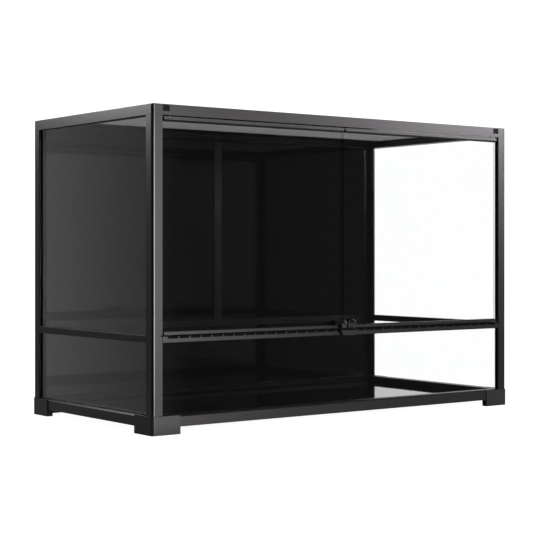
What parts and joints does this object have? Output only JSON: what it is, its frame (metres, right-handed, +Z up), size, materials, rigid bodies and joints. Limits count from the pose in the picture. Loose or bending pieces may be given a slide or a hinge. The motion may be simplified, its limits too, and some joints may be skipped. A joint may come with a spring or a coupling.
{
  "type": "front-opening glass terrarium",
  "caption": "Glass reptile terrarium in a black metal frame, with hinged front doors over a vented rail, a lock, a mesh lid and corner feet.",
  "frame": {"origin": "on the floor under the middle of the frame", "axes": "+X along the width to the right, +Y from the doors to the back wall, +Z up"},
  "size_m": [0.918, 0.468, 0.606],
  "materials": {
    "frame_black": "satin",
    "plastic_black": "satin",
    "clear_glass": "clear",
    "gloss_black": "gloss",
    "mesh_steel": "satin",
    "bright_steel": "polished"
  },
  "bodies": {
    "frame": {"corner_foot_front_left": "plastic_black", "corner_foot_front_right": "plastic_black", "corner_foot_back_left": "plastic_black", "corner_foot_back_right": "plastic_black", "base_rail_front": "frame_black", "base_rail_back": "frame_black", "base_rail_left": "frame_black", "base_rail_right": "frame_black", "post_front_left": "frame_black", "post_front_right": "frame_black", "post_back_left": "frame_black", "post_back_right": "frame_black", "top_rail_front": "frame_black", "top_rail_back": "frame_black", "top_rail_left": "frame_black", "top_rail_right": "frame_black", "corner_key_front_left": "plastic_black", "corner_key_front_right": "plastic_black", "corner_key_back_left": "plastic_black", "corner_key_back_right": "plastic_black", "mid_rail_front": "frame_black", "mid_rail_back": "frame_black", "mid_rail_left": "frame_black", "mid_rail_right": "frame_black", "vent_screen": "mesh_steel", "floor_panel": "gloss_black", "front_lower_glass": "clear_glass", "left_lower_glass": "clear_glass", "left_upper_glass": "clear_glass", "right_lower_glass": "clear_glass", "right_upper_glass": "clear_glass", "back_lower_panel": "gloss_black", "back_upper_panel_left": "gloss_black", "back_upper_panel_right": "gloss_black", "back_joint_strip": "frame_black", "door_stop": "plastic_black", "lock_keeper": "frame_black"},
    "left_door": {"left_door_head_strip": "frame_black", "left_door_foot_strip": "frame_black", "left_door_glass": "clear_glass", "left_door_head_pin": "bright_steel", "left_door_foot_pin": "bright_steel", "left_door_pull": "plastic_black"},
    "right_door": {"right_door_head_strip": "frame_black", "right_door_foot_strip": "frame_black", "right_door_glass": "clear_glass", "right_door_head_pin": "bright_steel", "right_door_foot_pin": "bright_steel", "lock_case": "plastic_black"},
    "lock": {"lock_barrel": "bright_steel", "lock_cam": "bright_steel", "lock_cam_screw": "bright_steel"},
    "lid": {"lid_bar_front": "frame_black", "lid_bar_back": "frame_black", "lid_bar_left": "frame_black", "lid_bar_right": "frame_black", "lid_screen": "mesh_steel"},
    "lid_bolt_left": {"lid_bolt_left": "plastic_black"},
    "lid_bolt_right": {"lid_bolt_right": "plastic_black"}
  },
  "joints": [
    {"name": "left_door_hinge", "type": "hinge", "parent": "frame", "child": "left_door", "pos_m": [-0.418, -0.2238, 0.385], "axis": [0, 0, -1], "range_deg": [0, 120]},
    {"name": "right_door_hinge", "type": "hinge", "parent": "frame", "child": "right_door", "pos_m": [0.418, -0.2238, 0.385], "axis": [0, 0, 1], "range_deg": [0, 120]},
    {"name": "lock_turn", "type": "hinge", "parent": "right_door", "child": "lock", "pos_m": [0.011, -0.2334, 0.189], "axis": [0, 1, 0], "range_deg": [0, 90]},
    {"name": "lid_lift", "type": "slide", "parent": "frame", "child": "lid", "axis": [0, 0, 1], "range_m": [0, 0.12]},
    {"name": "left_lid_bolt_slide", "type": "slide", "parent": "frame", "child": "lid_bolt_left", "axis": [0, 1, 0], "range_m": [0, 0.0022]},
    {"name": "right_lid_bolt_slide", "type": "slide", "parent": "frame", "child": "lid_bolt_right", "axis": [0, 1, 0], "range_m": [0, 0.0022]}
  ]
}
